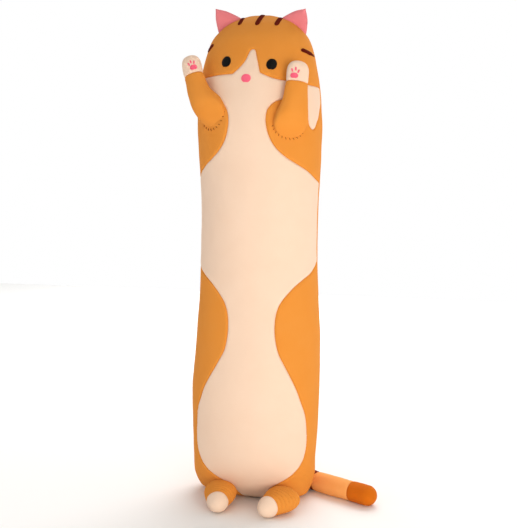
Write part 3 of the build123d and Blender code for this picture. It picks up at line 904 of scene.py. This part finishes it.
# ------------------------------------------------------------------ paw pads
# A broad rose pad and three slim toes in satin stitch on each paw, on the side that faces inwards.
PAD_TURN = {"right": -45, "left": -35}  # degrees round the paw from its outer face
PAD_AT = {"right": 88.5, "left": 87}
TOES = {"right": [(-8.7, 8.9, -20), (-3.5, 13.2, -8), (3.1, 10.7, 15)],
        "left": [(-4.7, 10.7, -20), (2.3, 13.6, -4), (7.8, 9.1, 20)]}
arm_table = smooth_line(ARM_SECTIONS, 1.0)
arm_table[:, 0] = np.maximum.accumulate(arm_table[:, 0])


def on_paw(name):
    place, side = arm_place(name), -1 if name == "right" else 1

    def surface(across, along, lift):
        a, s = radians(PAD_TURN[name] + side * degrees(across / 20.5)), PAD_AT[name] + along
        w, t, shift = (float(np.interp(s, arm_table[:, 0], arm_table[:, i])) for i in (1, 2, 3))
        swell = 1 + float(arm_ripple(np.array([a]), s)[0]) / max(6.0, (w + t) / 2)
        roll = float(seam_roll(s - CUFF))
        x, n = (w - roll) * sin(a) * swell, (t - roll) * cos(a) * swell
        out = Vector((sin(a) / w, cos(a) / t)).normalized() * lift
        return Vector(place(x + out.x, n + shift + out.y, s)) / 1000
    return surface


for name in ("right", "left"):
    surface = on_paw(name)
    spine, wide = disc(0, 0, 15.6, 11.6)
    lines = satin(spine, wide, surface, rise=1.0)
    for x, y, slant in TOES[name]:
        dx, dy = 4.1 * sin(radians(slant)), 4.1 * cos(radians(slant))
        lines += satin([(x + dx, y + dy), (x, y), (x - dx, y - dy)],
                       lambda f: 1.4 * sqrt(max(0.0, 1 - (2 * f - 1) ** 2)), surface, rise=0.9)
    piece = threads(f"{name}_paw_pad_stitching", lines, 0.5, rose_thread)
    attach(piece, f"{name}_arm")
    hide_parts(f"{name}_paw_pads")

# ------------------------------------------------------------------ hand stitches
# Slanting stitches in brown thread hold each arm's open end to the shoulder, and a ladder of them
# shuts the stuffing hole low on the back.
def stitch_over(place, aim, long, lift):
    """One stitch on the unrolled cover: a short arch through a place (degrees, climb)."""
    turn, up = place
    dx, dy = aim[0] * long / 2, aim[1] * long / 2
    girth = float(np.interp(up, climb, profile[:, 1]))
    return [cover_point(turn + degrees(dx * t / girth), up + dy * t, lift * (1 - t * t) - 0.3)
            for t in (-1, -0.5, 0, 0.5, 1)]


RING_STITCHES, STITCH_RING_WIDE, STITCH_RING_HIGH = 26, 37, 38  # half the ring's width and height
SHOULDER_GIRTH, STITCH_SLANT = 133, 0.5
CLOSING_STITCHES, CLOSING_LOW, CLOSING_PITCH = 17, 305, 9.4
for name in ("right", "left"):
    lines, middle_up = [], float(climb_at(ARM_HEIGHT[name] - 5))
    for k in range(RING_STITCHES):
        a = k / RING_STITCHES * 2 * pi
        if cos(a) < -0.1:
            continue  # the upper stitches lie in the fold above the arm
        turn = ARM_TURN[name] + degrees(STITCH_RING_WIDE * sin(a) / SHOULDER_GIRTH)
        place = turn, middle_up - STITCH_RING_HIGH * ARM_FOOT[name] * cos(a)
        lines.append(stitch_over(place, (sin(a + STITCH_SLANT), -cos(a + STITCH_SLANT)), 5, 1.3))
    piece = threads(f"{name}_arm_hand_stitches", lines, 0.55, sewing_thread)
    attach(piece, "upper_body")
    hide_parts(f"{name}_arm_seam_thread")
lines = [stitch_over((180, climb_at(CLOSING_LOW + k * CLOSING_PITCH)), (0.93, 0.37 if k % 2 else -0.37),
                     7.5, 1.5) for k in range(CLOSING_STITCHES)]
piece = threads("closing_stitches", lines, 0.55, sewing_thread)
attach(piece, "lower_body")
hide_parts("closing_seam_thread")


# ------------------------------------------------------------------ floor, light and camera
# A pale floor, a broad soft lamp low in front, a weak fill on the left, a lamp over the floor behind,
# and a white sky that is brighter behind the toy than before it. Colours are shown as they are.
floor_mesh = bpy.data.meshes.new("floor")
floor_mesh.from_pydata([(-9, -6, 0), (9, -6, 0), (9, 4.6, 0), (-9, 4.6, 0)], [], [(0, 1, 2, 3)])
floor = bpy.data.objects.new("floor", floor_mesh)
bpy.context.scene.collection.objects.link(floor)
floor_paint = bpy.data.materials.new("floor_white_matt")
floor_paint.use_nodes = True
floor_paint.node_tree.nodes["Principled BSDF"].inputs["Base Color"].default_value = linear("#F7F6F4")
floor_paint.node_tree.nodes["Principled BSDF"].inputs["Roughness"].default_value = 0.9
floor_mesh.materials.append(floor_paint)


def lamp(name, place, aim, size, power, colour):
    light = bpy.data.lights.new(name, "AREA")
    light.shape, light.size, light.energy = "DISK", size, power
    light.color = linear(colour)[:3]
    obj = bpy.data.objects.new(name, light)
    obj.location = place
    obj.rotation_euler = (Vector(aim) - Vector(place)).to_track_quat("-Z", "Y").to_euler()
    bpy.context.scene.collection.objects.link(obj)


lamp("key_lamp", (1.3, -1.85, 0.28), (0, 0, 0.12), 1.2, 29, "#FFF6EA")
lamp("fill_lamp", (-2.2, -2.4, 1.2), (0, 0, 0.5), 2.2, 7, "#FFFFFF")
lamp("floor_lamp", (0.3, 3.6, 3.4), (0.2, 3.0, 0), 4.0, 150, "#FFFFFF")
world = bpy.data.worlds.new("studio")
bpy.context.scene.world = world
world.use_nodes = True
sky = world.node_tree
sky_place = add(sky, "ShaderNodeTexCoord", {})
sky_split = add(sky, "ShaderNodeSeparateXYZ", {}, [(0, sky_place, "Generated")])
sky_glow = add(sky, "ShaderNodeMapRange", {"From Min": -0.2, "From Max": 0.6, "To Min": 0.54, "To Max": 1.0},
               [(0, sky_split, "Y")])
sky.nodes["Background"].inputs["Color"].default_value = (1, 1, 1, 1)
sky.links.new(sky_glow.outputs[0], sky.nodes["Background"].inputs["Strength"])
bpy.context.scene.view_settings.view_transform = "Standard"

camera_data = bpy.data.cameras.new("camera")
camera_data.lens = 36 * 808 / 528
camera_data.shift_x = 0.0017
camera = bpy.data.objects.new("camera", camera_data)
bpy.context.scene.collection.objects.link(camera)
around, away = radians(14), 1.75
camera.location = (sin(around) * away, -cos(around) * away, 0.6)
look = (Vector((0, 0, 0.502)) - camera.location).to_track_quat("-Z", "Y")
camera.rotation_euler = (look @ Quaternion((0, 0, 1), radians(0.95))).to_euler()
bpy.context.scene.camera = camera
